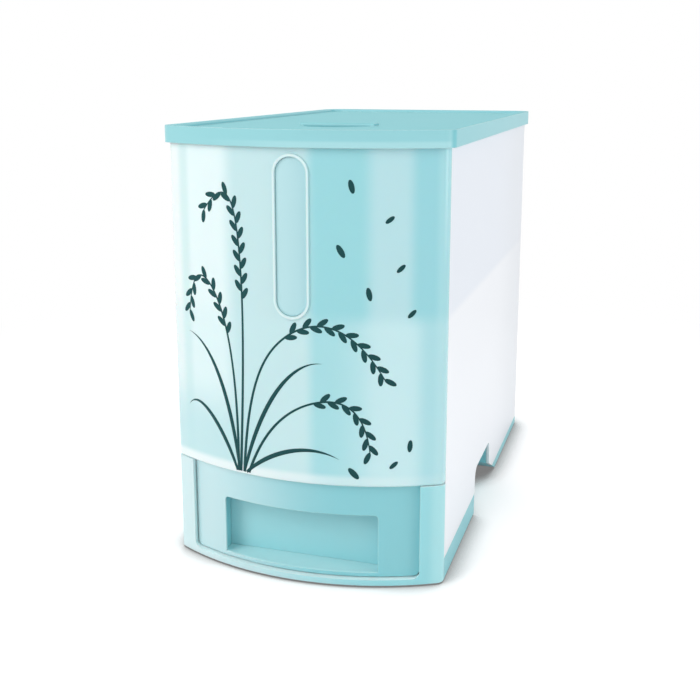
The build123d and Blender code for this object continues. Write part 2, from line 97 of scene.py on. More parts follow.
class Tree:
    """A node tree with short calls to add and link nodes."""

    def __init__(self, tree):
        self.tree = tree

    def add(self, kind, inputs=None, **settings):
        """New node; each input is a value or the socket that it is linked from."""
        node = self.tree.nodes.new(kind)
        for name, value in settings.items():
            setattr(node, name, value)
        for key, value in (inputs or {}).items():
            if isinstance(value, bpy.types.NodeSocket):
                self.link(value, node.inputs[key])
            else:
                node.inputs[key].default_value = value
        return node

    def link(self, source, target):
        self.tree.links.new(source, target)

    def math(self, operation, first, second=0.0, third=0.0):
        node = self.add("ShaderNodeMath", {0: first, 1: second, 2: third}, operation=operation)
        return node.outputs[0]

    def times(self, first, second):
        return self.math("MULTIPLY", first, second)

    def diagonal(self, first, second):
        """Length of the diagonal of two sides."""
        squares = self.math("ADD", self.math("POWER", first, 2.0), self.math("POWER", second, 2.0))
        return self.math("SQRT", squares)

    def axis(self, vector, name):
        """One coordinate of a vector."""
        return self.add("ShaderNodeSeparateXYZ", {0: vector}).outputs[name]

    def noise(self, vector, scale, detail):
        inputs = {"Vector": vector, "Scale": scale, "Detail": detail}
        return self.add("ShaderNodeTexNoise", inputs).outputs[0]

    def mix(self, factor, first, second, blend="MIX"):
        """Colour between first and second."""
        inputs = {0: factor, 6: first, 7: second}
        return self.add("ShaderNodeMix", inputs, data_type="RGBA", blend_type=blend).outputs[2]

    def ramp(self, value, start, end, low=0.0, high=1.0, ease="SMOOTHERSTEP"):
        """Low at start, high at end, eased."""
        inputs = {"Value": value, "From Min": start, "From Max": end, "To Min": low, "To Max": high}
        return self.add("ShaderNodeMapRange", inputs, interpolation_type=ease).outputs["Result"]


def new_group(kind, name, inputs, outputs):
    """Empty node group with named sockets; gives its Tree, its input node and its output node."""
    tree = bpy.data.node_groups.new(name, kind)
    for direction, sockets in (("INPUT", inputs), ("OUTPUT", outputs)):
        for socket_name, socket_type, default in sockets:
            socket = tree.interface.new_socket(socket_name, in_out=direction, socket_type=socket_type)
            if default is not None:
                socket.default_value = default
    nodes = Tree(tree)
    return nodes, nodes.add("NodeGroupInput"), nodes.add("NodeGroupOutput")


def add_object(name, data):
    """New object in the scene, at the origin."""
    thing = bpy.data.objects.new(name, data)
    bpy.context.scene.collection.objects.link(thing)
    return thing


# Shared effects

grain_detail = 2.0
flow_scale = 14.0  # slow swell that the mould leaves
flow_detail = 3.0
flow_height = 3.0  # beside the fine grain's height of 1
cloud_scale = 9.0
cloud_detail = 2.0


def make_moulded_grain():
    """Fine skin of a moulded surface: a height for the bump and a drifting roughness."""
    nodes, given, result = new_group(
        "ShaderNodeTree",
        "moulded_grain",
        [
            ("Vector", VECTOR, None),
            ("Grain Scale", FLOAT, 900.0),
            ("Roughness", FLOAT, 0.35),
            ("Drift", FLOAT, 0.06),
        ],
        [("Height", FLOAT, None), ("Roughness", FLOAT, None)],
    )
    place = given.outputs["Vector"]
    grain = nodes.noise(place, given.outputs["Grain Scale"], grain_detail)
    flow = nodes.noise(place, flow_scale, flow_detail)
    swell = nodes.times(flow, flow_height)
    nodes.link(nodes.math("ADD", grain, swell), result.inputs["Height"])
    centred = nodes.math("SUBTRACT", flow, 0.5)
    drift = nodes.math("MULTIPLY_ADD", centred, given.outputs["Drift"], given.outputs["Roughness"])
    nodes.link(drift, result.inputs["Roughness"])
    return nodes.tree


def make_side_lit_cloudy_tint():
    """Milky plastic paler to the left and deeper to the right, a painted fall of light from the left,
    with a slow cloudiness.
    """
    nodes, given, result = new_group(
        "ShaderNodeTree",
        "side_lit_cloudy_tint",
        [
            ("Vector", VECTOR, None),
            ("Pale", COLOUR, (1, 1, 1, 1)),
            ("Deep", COLOUR, (0.5, 0.5, 0.5, 1)),
            ("Pale Edge", FLOAT, -0.1),
            ("Deep Edge", FLOAT, 0.1),
            ("Cloud", FLOAT, 0.05),
        ],
        [("Color", COLOUR, None)],
    )
    place = given.outputs["Vector"]
    edges = given.outputs["Pale Edge"], given.outputs["Deep Edge"]
    slope = nodes.ramp(nodes.axis(place, "X"), *edges, ease="SMOOTHSTEP")
    shade = nodes.mix(slope, given.outputs["Pale"], given.outputs["Deep"])
    cloud = nodes.noise(place, cloud_scale, cloud_detail)
    clouded = nodes.mix(given.outputs["Cloud"], shade, cloud, blend="MULTIPLY")
    nodes.link(clouded, result.inputs["Color"])
    return nodes.tree


moulded_grain = make_moulded_grain()
side_lit_cloudy_tint = make_side_lit_cloudy_tint()

bump_strength = 0.5
bevel_samples = 6
facing_range = (0.6, 0.95)  # how far a face has to look along an axis to count, and to count in full
edge_turn = (0.99, 0.85)  # how far the rounding has to turn a face to count as an edge, and in full


class Finish:
    """A material under construction: Object coordinates, a rounded edge, grain and one shader."""

    def __init__(self, name, edge_radius=0.9 * MM, grain_scale=900.0, grain_depth=0.02 * MM,
                 roughness=0.35, drift=0.06, **shader_values):
        self.material = bpy.data.materials.new(name)
        self.material.use_nodes = True
        self.nodes = Tree(self.material.node_tree)
        self.shader = self.material.node_tree.nodes["Principled BSDF"]
        coordinates = self.nodes.add("ShaderNodeTexCoord")
        self.place = coordinates.outputs["Object"]
        self.facing = coordinates.outputs["Normal"]
        for socket, value in shader_values.items():
            self.shader.inputs[socket.replace("_", " ")].default_value = value
        grain = self.group(
            moulded_grain,
            {"Vector": self.place, "Grain Scale": grain_scale, "Roughness": roughness, "Drift": drift},
        )
        self.rounded = self.rounding(edge_radius)
        bump = self.nodes.add(
            "ShaderNodeBump",
            {
                "Strength": bump_strength,
                "Distance": grain_depth,
                "Height": grain.outputs["Height"],
                "Normal": self.rounded,
            },
        )
        self.nodes.link(bump.outputs[0], self.shader.inputs["Normal"])
        self.roughness = grain.outputs["Roughness"]
        self.nodes.link(self.roughness, self.shader.inputs["Roughness"])

    def group(self, tree, inputs):
        return self.nodes.add("ShaderNodeGroup", inputs, node_tree=tree)

    def rounding(self, radius):
        """Normal of the surface as if its edges were rounded."""
        return self.nodes.add("ShaderNodeBevel", {"Radius": radius}, samples=bevel_samples).outputs[0]

    def tint(self, pair, edges, cloud=0.05):
        """Pale and deep colour of a pair, from the pale edge across to the deep one, as painted light
        from the left.
        """
        inputs = {"Vector": self.place, "Cloud": cloud}
        inputs["Pale"], inputs["Deep"] = pair
        inputs["Pale Edge"], inputs["Deep Edge"] = edges
        return self.group(side_lit_cloudy_tint, inputs).outputs["Color"]

    def axis(self, name):
        return self.nodes.axis(self.place, name)

    def facing_along(self, axis, sign=1):
        """1 on faces that look along an axis, 0 on faces turned well away from it."""
        start, full = facing_range
        return self.nodes.ramp(self.nodes.axis(self.facing, axis), sign * start, sign * full)

    def over(self, base, mask, layer, share=1.0):
        """Base with a layer over it where mask is 1, as strong as share."""
        if share != 1.0:
            mask = self.nodes.times(mask, share)
        return self.nodes.mix(mask, base, layer)

    def paint_edge_highlights(self, base, edge_colour, share, reach=None):
        """Painted highlight: a paler colour along the edges, as far as reach."""
        flat = self.nodes.add("ShaderNodeNewGeometry").outputs["Normal"]
        rounded = self.rounding(reach) if reach else self.rounded
        turn = self.nodes.add("ShaderNodeVectorMath", {0: flat, 1: rounded}, operation="DOT_PRODUCT")
        return self.over(base, self.nodes.ramp(turn.outputs["Value"], *edge_turn), edge_colour, share)

    def paint(self, source):
        self.nodes.link(source, self.shader.inputs["Base Color"])
        return self.material


# Colours; a pair is the paler left and the deeper right of a tint, which paints light falling from the
# left


def colour(red, green, blue):
    """Linear colour of an 8-bit display colour."""
    def linear(value):
        share = value / 255
        return share / 12.92 if share <= 0.04045 else ((share + 0.055) / 1.055) ** 2.4
    return (linear(red), linear(green), linear(blue), 1.0)


wall_white = colour(243, 246, 251), colour(240, 244, 250)
upper_reflection_white = colour(226, 233, 243)
back_shade_white = colour(220, 226, 233)
edge_highlight_white = colour(253, 255, 255)

front_left_highlight_aqua = colour(240, 250, 250), colour(214, 240, 240)
lower_reflection_aqua = colour(202, 237, 241)
left_foot_aqua = colour(188, 227, 231)
bead_highlight_aqua = colour(226, 246, 247)
nosing_highlight_aqua = colour(236, 248, 249)

# Painted reflections in upright bands across the front: each takes over between two places from the one
# to its left
front_reflection_bands = [
    ((-90 * MM, -82 * MM), colour(230, 248, 249)),
    ((-60 * MM, -40 * MM), colour(198, 231, 234)),
    ((6 * MM, 20 * MM), colour(153, 217, 224)),
    ((46 * MM, 63 * MM), colour(184, 226, 232)),
    ((76 * MM, 89 * MM), colour(152, 215, 224)),
    ((95 * MM, 102 * MM), colour(166, 221, 228)),
]

lid_aqua = colour(153, 215, 221), colour(154, 216, 223)
lid_edge_light_aqua = colour(196, 238, 242)
lid_side_shade_aqua = colour(122, 200, 209)
lid_top_shade_aqua = colour(126, 199, 206)

surround_aqua = colour(217, 242, 245), colour(162, 224, 231)
surround_right_highlight_aqua = colour(186, 234, 238)
surround_left_aqua = colour(176, 230, 235)
drawer_aqua = colour(206, 236, 240), colour(145, 211, 219)
opening_shade_aqua = colour(142, 208, 215)
base_aqua = colour(150, 212, 219), colour(142, 208, 216)
tray_aqua = colour(174, 231, 237), colour(168, 229, 236)
top_light_aqua = colour(206, 248, 251)
gap_wall_light_aqua = colour(222, 247, 249)
edge_highlight_aqua = colour(214, 243, 244)

window_aqua = colour(198, 240, 245), colour(188, 234, 241)
hopper_white = colour(232, 238, 240), colour(224, 232, 235)
rubber_grey = colour(70, 74, 76), colour(58, 61, 64)
silicone_white = colour(230, 234, 234), colour(220, 226, 226)
zinc_grey = colour(205, 206, 208), colour(178, 180, 184)
ink_teal = colour(32, 84, 86), colour(26, 74, 76)

# How far across the tints run
full_width = (-half_width, half_width)
satin_width = (-0.8 * half_width, 0.7 * half_width)
drawer_width = (-0.8 * half_width, 0.35 * half_width)
front_left_edge = (-98 * MM, -91 * MM)


# Finishes


def white_body_finish():
    """White walls, a shade greyer above the reflected horizon as painted reflection and towards the back
    as painted shade, with painted highlights on the edges.
    """
    finish = Finish("white_body", roughness=0.32, Coat_Weight=0.15, Coat_Roughness=0.2)
    nodes = finish.nodes
    walls = finish.tint(wall_white, full_width, cloud=0.02)
    reflection_horizon = (reflection_horizon_height - wall_line_blend, reflection_horizon_height + wall_line_blend)
    # Painted reflection, greyer above the horizon line.
    walls = finish.over(walls, nodes.ramp(finish.axis("Z"), *reflection_horizon), upper_reflection_white)
    # Painted shade, greyer towards the back.
    towards_back = nodes.ramp(finish.axis("Y"), 0.0, body_back)
    walls = finish.over(walls, towards_back, back_shade_white, share=0.6)
    # Painted highlights along the edges.
    return finish.paint(finish.paint_edge_highlights(walls, edge_highlight_white, share=0.9, reach=3 * MM))


def bead_mask(nodes, x, z):
    """1 on the raised bead round the level window, found from the distance to the pane's stadium."""
    pane_radius = (window_high.x - window_low.x) / 2 - pane_flange
    straight = (window_high.z - window_low.z) / 2 - pane_flange - pane_radius
    rise = nodes.math("ABSOLUTE", nodes.math("SUBTRACT", z, (window_low.z + window_high.z) / 2))
    past_straight = nodes.math("MAXIMUM", nodes.math("SUBTRACT", rise, straight), 0.0)
    distance = nodes.math("SUBTRACT", nodes.diagonal(x, past_straight), pane_radius)
    inner = nodes.ramp(distance, 0.0, bead_width / 2)
    outer = nodes.ramp(distance, bead_width, bead_width / 2)
    return nodes.times(inner, outer)


def lower_reflection_mask(nodes, x, z):
    """How much paler the front is below the reflected horizon, a painted reflection of the floor: most on
    the right, fading at the right edge.
    """
    paleness_grows = (20 * MM, 75 * MM)
    paleness_fades = (95 * MM, 82 * MM)
    below = nodes.ramp(z, reflection_horizon_height + front_line_blend, reflection_horizon_height - front_line_blend)
    growing = nodes.ramp(x, *paleness_grows, low=0.25, high=0.85)
    fading = nodes.ramp(x, *paleness_fades, low=0.45)
    return nodes.times(below, nodes.times(growing, fading))


def left_foot_mask(nodes, x, z):
    """1 low on the left of the front."""
    foot_height = (160 * MM, 100 * MM)
    foot_across = (0.0, -50 * MM)
    return nodes.times(nodes.ramp(z, *foot_height), nodes.ramp(x, *foot_across))


def nosing_highlight_mask(nodes, x, z):
    """Painted highlight on the front's rounded lower edge, brighter to the left."""
    nosing_height = (panel_low.z + 11 * MM, panel_low.z + 4.5 * MM)
    nosing_across = (1.6 * half_width, -half_width)
    return nodes.times(nodes.ramp(z, *nosing_height), nodes.ramp(x, *nosing_across))


def front_panel_finish():
    """Milky aqua front with painted reflections in soft upright bands and a painted highlight on its left
    edge, paler below the reflected horizon, with painted highlights on the bead and nosing.
    """
    finish = Finish(
        "aqua_front",
        roughness=0.22,
        drift=0.05,
        Coat_Weight=0.3,
        Coat_Roughness=0.12,
        Subsurface_Weight=0.1,
        Subsurface_Scale=2.0 * MM,
    )
    nodes = finish.nodes
    x, z = finish.axis("X"), finish.axis("Z")
    # Painted highlight along the left edge of the front.
    shade = finish.tint(front_left_highlight_aqua, front_left_edge, cloud=0.03)
    # Painted reflections in upright bands.
    for band_edges, band_colour in front_reflection_bands:
        shade = finish.over(shade, nodes.ramp(x, *band_edges), band_colour)
    # Painted reflection of the floor, paler below the horizon line.
    shade = finish.over(shade, lower_reflection_mask(nodes, x, z), lower_reflection_aqua)
    shade = finish.over(shade, left_foot_mask(nodes, x, z), left_foot_aqua, share=0.85)
    # Painted highlight on the bead round the window.
    shade = finish.over(shade, bead_mask(nodes, x, z), bead_highlight_aqua, share=0.85)
    # Painted highlight on the nosing, brighter to the left.
    shade = finish.over(shade, nosing_highlight_mask(nodes, x, z), nosing_highlight_aqua)
    # Painted highlight on faces that look down.
    return finish.paint(finish.over(shade, finish.facing_along("Z", -1), nosing_highlight_aqua))


def lid_finish():
    """Aqua lid with painted shade on its top and right side, and painted light along its thin lower edge.
    """
    lower_edge = (lid_top - 6.5 * MM, lid_top - 9.5 * MM)
    edge_light_across = (-0.9 * half_width, 0.3 * half_width)
    satin_gain = 0.3  # the top is rougher than the rim by this
    finish = Finish("aqua_lid", roughness=0.3, edge_radius=0.8 * MM, Specular_IOR_Level=0.4)
    nodes = finish.nodes
    upward = finish.facing_along("Z")
    satin_top = nodes.math("MULTIPLY_ADD", upward, satin_gain, finish.roughness)
    nodes.link(satin_top, finish.shader.inputs["Roughness"])
    base = finish.tint(lid_aqua, full_width)
    # Painted light along the thin lower edge.
    low = nodes.ramp(finish.axis("Z"), *lower_edge)
    thin = nodes.times(low, nodes.ramp(finish.axis("X"), *edge_light_across))
    base = finish.over(base, thin, lid_edge_light_aqua, share=0.4)
    # Painted shade on the right side and on the top.
    base = finish.over(base, finish.facing_along("X"), lid_side_shade_aqua)
    base = finish.over(base, upward, lid_top_shade_aqua)
    return finish.paint(finish.paint_edge_highlights(base, edge_highlight_aqua, share=0.7))


def satin_aqua(name):
    """Milky satin plastic, not yet coloured."""
    return Finish(
        name,
        roughness=0.4,
        Specular_IOR_Level=0.35,
        Subsurface_Weight=0.35,
        Subsurface_Scale=3.0 * MM,
        Subsurface_Radius=(0.6, 1.0, 1.0),
    )


def paint_satin(finish, base):
    """Colours a satin finish, with the painted edge highlights that all of them have."""
    return finish.paint(finish.paint_edge_highlights(base, edge_highlight_aqua, share=0.45))


def aqua_finish(name, pair, upward=None):
    """Satin aqua, paler to the left from painted light; upward is the colour of faces that look up,
    painted lighter, if they differ.
    """
    finish = satin_aqua(name)
    base = finish.tint(pair, satin_width)
    if upward:
        base = finish.over(base, finish.facing_along("Z"), upward)
    return paint_satin(finish, base)


def bow_depth(finish, front_y):
    """How far a point lies behind an upright face that is bowed as the front is."""
    nodes = finish.nodes
    behind = nodes.math("SUBTRACT", finish.axis("Y"), bow_centre_y)
    return nodes.math("SUBTRACT", bow_centre_y - front_y, nodes.diagonal(finish.axis("X"), behind))


def surround_finish():
    """Satin aqua frame, paler to the left from painted light, with a painted highlight at its right edge,
    and palest, with painted light, on the thin walls round the drawer and on faces that look up.
    """
    right_edge = (half_width - 12 * MM, half_width - 3 * MM)
    flanks_end = (half_width - 2 * MM, half_width - 5 * MM)
    wall_starts = (0.5 * MM, 1.2 * MM)
    wall_ends = (12 * MM, 7 * MM)
    finish = satin_aqua("aqua_surround")
    nodes = finish.nodes
    base = finish.tint(surround_aqua, satin_width)
    # Painted highlight towards the right edge.
    base = finish.over(base, nodes.ramp(finish.axis("X"), *right_edge), surround_right_highlight_aqua, share=0.6)
    # Faces that look to the left take a plain aqua, without the painted light from the left.
    base = finish.over(base, finish.facing_along("X", -1), surround_left_aqua)
    # Painted light on the thin walls round the drawer and on faces that look up.
    depth = bow_depth(finish, bow_front)
    wall = nodes.times(nodes.ramp(depth, *wall_starts), nodes.ramp(depth, *wall_ends))
    inside = nodes.ramp(nodes.math("ABSOLUTE", finish.axis("X")), *flanks_end)
    thin = nodes.math("MAXIMUM", nodes.times(wall, inside), finish.facing_along("Z"))
    return paint_satin(finish, finish.over(base, thin, gap_wall_light_aqua))


def drawer_front_finish():
    """Satin aqua fascia, paler to the left from painted light, with painted highlights on its edges and
    outer walls, painted shade on the walls in the finger opening and painted light on faces that look up.
    """
    opening_starts = (0.4 * MM, 2.5 * MM)
    outer_wall_starts = (0.2 * MM, 0.6 * MM)
    side_edge = (drawer_high.x - 1.0 * MM, drawer_high.x - 0.3 * MM)
    lower_edge = (drawer_low.z + 1.0 * MM, drawer_low.z + 0.3 * MM)
    finish = satin_aqua("aqua_drawer")
    nodes = finish.nodes
    base = finish.tint(drawer_aqua, drawer_width)
    depth = bow_depth(finish, drawer_low.y)
    # Painted shade on the walls in the finger opening.
    base = finish.over(base, nodes.ramp(depth, *opening_starts), opening_shade_aqua)
    # Painted light on faces that look up.
    base = finish.over(base, finish.facing_along("Z"), top_light_aqua, share=0.8)
    # Painted light on the outer walls at the sides and foot.
    at_side = nodes.ramp(nodes.math("ABSOLUTE", finish.axis("X")), *side_edge)
    at_foot = nodes.ramp(finish.axis("Z"), *lower_edge)
    outside = nodes.math("MAXIMUM", at_side, at_foot)
    outer_wall = nodes.times(outside, nodes.ramp(depth, *outer_wall_starts))
    return paint_satin(finish, finish.over(base, outer_wall, gap_wall_light_aqua))


def plain_finish(name, pair, edges=full_width, cloud=0.05, **values):
    """Finish with one tint all over."""
    finish = Finish(name, **values)
    return finish.paint(finish.tint(pair, edges, cloud))


def window_finish():
    """Frosted clear pane, with the store behind it faintly showing."""
    return plain_finish(
        "frosted_window",
        window_aqua,
        edges=(window_low.x, window_high.x),
        roughness=0.35,
        grain_scale=1600.0,
        Transmission_Weight=0.1,
        IOR=1.49,
        Coat_Weight=0.3,
        Coat_Roughness=0.1,
    )


def rubber_finish():
    """Dark matt rubber."""
    return plain_finish(
        "foot_rubber",
        rubber_grey,
        cloud=0.3,
        roughness=0.75,
        grain_scale=1500.0,
        grain_depth=0.05 * MM,
    )


def silicone_finish():
    """Soft pale ring that lets a little light in."""
    return plain_finish(
        "seal_silicone",
        silicone_white,
        roughness=0.5,
        Subsurface_Weight=0.2,
        Subsurface_Scale=1.0 * MM,
    )


def steel_finish():
    """Zinc-plated screws with sharp edges."""
    return plain_finish(
        "screw_steel",
        zinc_grey,
        cloud=0.2,
        roughness=0.3,
        edge_radius=0.2 * MM,
        grain_scale=2500.0,
        Metallic=1.0,
    )


def ink_finish():
    """Dark teal print, slightly matt and uneven in its cover."""
    return plain_finish(
        "print_ink",
        ink_teal,
        cloud=0.2,
        edge_radius=0.05 * MM,
        roughness=0.5,
        grain_depth=0.01 * MM,
        Specular_IOR_Level=0.15,
    )


def dress(material, *names):
    """Gives a material to the CAD pieces that are named."""
    for name in names:
        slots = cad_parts[name].data.materials
        slots.clear()
        slots.append(material)


dress(white_body_finish(), "body_shell")
dress(front_panel_finish(), "front_panel")
dress(lid_finish(), "lid")
dress(surround_finish(), "drawer_surround")
dress(aqua_finish("aqua_base", base_aqua), "base_tray")
dress(drawer_front_finish(), "drawer_front")
dress(aqua_finish("aqua_tray", tray_aqua, top_light_aqua), "drawer_tray")
dress(plain_finish("hopper_white", hopper_white, roughness=0.4), "hopper", "shutter_plate")
dress(window_finish(), "level_window")
dress(rubber_finish(), "foot_front_left", "foot_front_right", "foot_rear_left", "foot_rear_right")
dress(silicone_finish(), "lid_seal")
dress(steel_finish(), "base_screws", "surround_screws", "drawer_front_screws", "shutter_screws")


# Printed rice stalks on the front, drawn flat (across, up) in millimetres and wrapped on the bow

print_lift = 0.12 * MM  # from the front to the outer face of the ink
ink_thickness = 0.08 * MM
point_merge = 0.02 * MM  # closes the strips where they run out to a point
curve_steps = 16
curve_order = 4
grain_corners = 14
stem_thinning = 0.65  # share of its width that a stem loses up to the tip
blade_root = 0.06  # keeps a blade open at its root
loose_turn = (0.4, 2.4)  # radians
loose_size = (0.75, 1.15)

bow_sizes = {"Bow Radius": bow_radius, "Bow Centre": bow_centre_y, "Lift": print_lift}
grain_sizes = {"Grain Length": 9.5 * MM, "Grain Width": 3.9 * MM}
ear_sizes = {
    "Stem Width": 2.2 * MM,
    **grain_sizes,
    "Grain Spacing": 5.2 * MM,
    "Grain Spread": math.radians(32),
    "Ear Start": 0.56,
}
blade_sizes = {"Blade Width": 8.0 * MM}
loose_sizes = {**grain_sizes, "Seed": 4}

stalks = [
    [(-40, 80), (-36, 140), (-16, 196), (40, 204), (66, 158)],
    [(-45, 80), (-44, 150), (-58, 226), (-86, 232), (-90, 196)],
    [(-43, 80), (-38, 170), (-38, 262), (-50, 300), (-72, 272)],
    [(-36, 80), (-22, 118), (18, 150), (52, 138), (56, 104)],
]
blades = [
    [(-46, 80), (-58, 112), (-82, 138), (-94, 122)],
    [(-44, 80), (-50, 132), (-66, 176), (-92, 180)],
    [(-38, 80), (-22, 96), (8, 112), (34, 98)],
    [(-40, 80), (-26, 132), (-2, 170), (22, 168)],
]
loose_places = [
    (44, 288), (66, 268), (38, 244), (74, 234), (56, 214), (82, 202), (70, 92), (84, 104), (48, 84),
]


def flat_curve(name, routes):
    """Smooth open curves through the flat print, one for each route."""
    data = bpy.data.curves.new(name, "CURVE")
    data.dimensions = "2D"
    data.twist_mode = "Z_UP"
    data.resolution_u = curve_steps
    for route in routes:
        spline = data.splines.new("NURBS")
        spline.points.add(len(route) - 1)
        for point, (across, up) in zip(spline.points, route):
            point.co = (across * MM, up * MM, 0, 1)
        spline.order_u = curve_order
        spline.use_endpoint_u = True
    return add_object(name, data)


def flat_points(name, places):
    """Loose points in the flat print."""
    data = bpy.data.meshes.new(name)
    data.from_pydata([(across * MM, up * MM, 0) for across, up in places], [], [])
    return add_object(name, data)


def size_sockets(sizes):
    """Sockets for named sizes; a seed is a whole number."""
    return [(name, WHOLE if isinstance(size, int) else FLOAT, size) for name, size in sizes.items()]


def make_wrap_on_bow():
    """Bends flat geometry, X across and Y up, on to the bowed front."""
    nodes, given, result = new_group(
        "GeometryNodeTree",
        "wrap_on_bow",
        [("Geometry", GEOMETRY, None), *size_sockets(bow_sizes)],
        [("Geometry", GEOMETRY, None)],
    )
    place = nodes.add("GeometryNodeInputPosition").outputs[0]
    angle = nodes.math("DIVIDE", nodes.axis(place, "X"), given.outputs["Bow Radius"])
    reach = nodes.math("ADD", given.outputs["Bow Radius"], given.outputs["Lift"])
    across = nodes.times(nodes.math("SINE", angle), reach)
    ahead = nodes.times(nodes.math("COSINE", angle), reach)
    depth = nodes.math("SUBTRACT", given.outputs["Bow Centre"], ahead)
    wrapped = nodes.add("ShaderNodeCombineXYZ", {"X": across, "Y": depth, "Z": nodes.axis(place, "Y")})
    solid = nodes.add("GeometryNodeRealizeInstances", {"Geometry": given.outputs["Geometry"]})
    bent = nodes.add(
        "GeometryNodeSetPosition",
        {"Geometry": solid.outputs[0], "Position": wrapped.outputs[0]},
    )
    nodes.link(bent.outputs[0], result.inputs["Geometry"])
    return nodes.tree


wrap_on_bow = make_wrap_on_bow()


def new_print_tree(name, sizes):
    """Empty tree for a part of the print: its own sizes, those of the bow, and the ink."""
    return new_group(
        "GeometryNodeTree",
        name,
        [
            ("Geometry", GEOMETRY, None),
            *size_sockets(sizes),
            *size_sockets(bow_sizes),
            ("Ink", MATERIAL, None),
        ],
        [("Geometry", GEOMETRY, None)],
    )


def finish_on_bow(nodes, given, result, flat):
    """Ends a print tree: the flat geometry is wrapped on the bow, made real and inked."""
    wrap = nodes.add("GeometryNodeGroup", node_tree=wrap_on_bow)
    nodes.link(flat, wrap.inputs["Geometry"])
    for name in bow_sizes:
        nodes.link(given.outputs[name], wrap.inputs[name])
    solid = nodes.add("GeometryNodeRealizeInstances", {"Geometry": wrap.outputs[0]})
    inked = nodes.add(
        "GeometryNodeSetMaterial",
        {"Geometry": solid.outputs[0], "Material": given.outputs["Ink"]},
    )
    nodes.link(inked.outputs[0], result.inputs["Geometry"])
    return nodes.tree


def ribbon(nodes, curve, width):
    """Flat strip along a curve."""
    line = nodes.add("GeometryNodeCurvePrimitiveLine", {"Start": (-0.5, 0, 0), "End": (0.5, 0, 0)})
    strip = nodes.add(
        "GeometryNodeCurveToMesh",
        {"Curve": curve, "Profile Curve": line.outputs[0], "Scale": width},
    )
    closed = nodes.add(
        "GeometryNodeMergeByDistance",
        {"Geometry": strip.outputs[0], "Distance": point_merge},
    )
    return closed.outputs[0]


def flat_grain(nodes, given):
    """Filled oval grain that lies along X with its root at the origin."""
    length, width = given.outputs["Grain Length"], given.outputs["Grain Width"]
    disc = nodes.add(
        "GeometryNodeMeshCircle",
        {"Vertices": grain_corners, "Radius": 0.5},
        fill_type="TRIANGLE_FAN",
    )
    size = nodes.add("ShaderNodeCombineXYZ", {"X": length, "Y": width, "Z": 1.0})
    move = nodes.add("ShaderNodeCombineXYZ", {"X": nodes.times(length, 0.5)})
    oval = nodes.add(
        "GeometryNodeTransform",
        {"Geometry": disc.outputs[0], "Translation": move.outputs[0], "Scale": size.outputs[0]},
    )
    return oval.outputs[0]


def turn_flat(nodes, angle):
    """Turn by an angle within the flat print."""
    lean = nodes.add("ShaderNodeCombineXYZ", {"Z": angle})
    return nodes.add("FunctionNodeEulerToRotation", {0: lean.outputs[0]}).outputs[0]


def make_rice_ear():
    """Stalk that thins towards its tip, with grains set left and right along its end."""
    nodes, given, result = new_print_tree("rice_ear", ear_sizes)
    curve = given.outputs["Geometry"]
    along = nodes.add("GeometryNodeSplineParameter").outputs["Factor"]
    thinning = nodes.math("MULTIPLY_ADD", along, -stem_thinning, 1.0)
    stem = ribbon(nodes, curve, nodes.times(thinning, given.outputs["Stem Width"]))
    ear = nodes.add("GeometryNodeTrimCurve", {"Curve": curve, 2: given.outputs["Ear Start"]})
    seats = nodes.add("GeometryNodeCurveToPoints", {"Curve": ear.outputs[0]}, mode="LENGTH")
    nodes.link(given.outputs["Grain Spacing"], seats.inputs["Length"])
    heading = nodes.add(
        "FunctionNodeAxesToRotation",
        {"Primary Axis": seats.outputs["Tangent"], "Secondary Axis": (0, 0, 1)},
        primary_axis="X",
        secondary_axis="Z",
    )
    odd = nodes.math("MODULO", nodes.add("GeometryNodeInputIndex").outputs[0], 2.0)
    side = nodes.math("MULTIPLY_ADD", odd, 2.0, -1.0)
    spread = turn_flat(nodes, nodes.times(side, given.outputs["Grain Spread"]))
    turned = nodes.add(
        "FunctionNodeRotateRotation",
        {"Rotation": heading.outputs[0], "Rotate By": spread},
        rotation_space="LOCAL",
    )
    grains = nodes.add(
        "GeometryNodeInstanceOnPoints",
        {
            "Points": seats.outputs["Points"],
            "Instance": flat_grain(nodes, given),
            "Rotation": turned.outputs[0],
        },
    )
    both = nodes.add("GeometryNodeJoinGeometry")
    nodes.link(grains.outputs[0], both.inputs[0])
    nodes.link(stem, both.inputs[0])
    return finish_on_bow(nodes, given, result, both.outputs[0])


def make_rice_blade():
    """Long leaf, widest below its middle and pointed at the tip."""
    nodes, given, result = new_print_tree("rice_blade", blade_sizes)
    along = nodes.add("GeometryNodeSplineParameter").outputs["Factor"]
    swelling = nodes.math("SQRT", nodes.math("MULTIPLY_ADD", along, 1.0 - blade_root, blade_root))
    closing = nodes.math("SUBTRACT", 1.0, nodes.math("POWER", along, 2.0))
    width = nodes.times(nodes.times(swelling, closing), given.outputs["Blade Width"])
    return finish_on_bow(nodes, given, result, ribbon(nodes, given.outputs["Geometry"], width))


def make_loose_grains():
    """Single grains at given points, each turned and sized by a fixed seed."""
    nodes, given, result = new_print_tree("loose_grains", loose_sizes)

    def drawn(least, most):
        inputs = {2: least, 3: most, "Seed": given.outputs["Seed"]}
        return nodes.add("FunctionNodeRandomValue", inputs).outputs[1]

    turn = turn_flat(nodes, drawn(*loose_turn))
    size = drawn(*loose_size)
    scale = nodes.add("ShaderNodeCombineXYZ", {"X": size, "Y": size, "Z": 1.0})
    grains = nodes.add(
        "GeometryNodeInstanceOnPoints",
        {
            "Points": given.outputs["Geometry"],
            "Instance": flat_grain(nodes, given),
            "Rotation": turn,
            "Scale": scale.outputs[0],
        },
    )
    return finish_on_bow(nodes, given, result, grains.outputs[0])


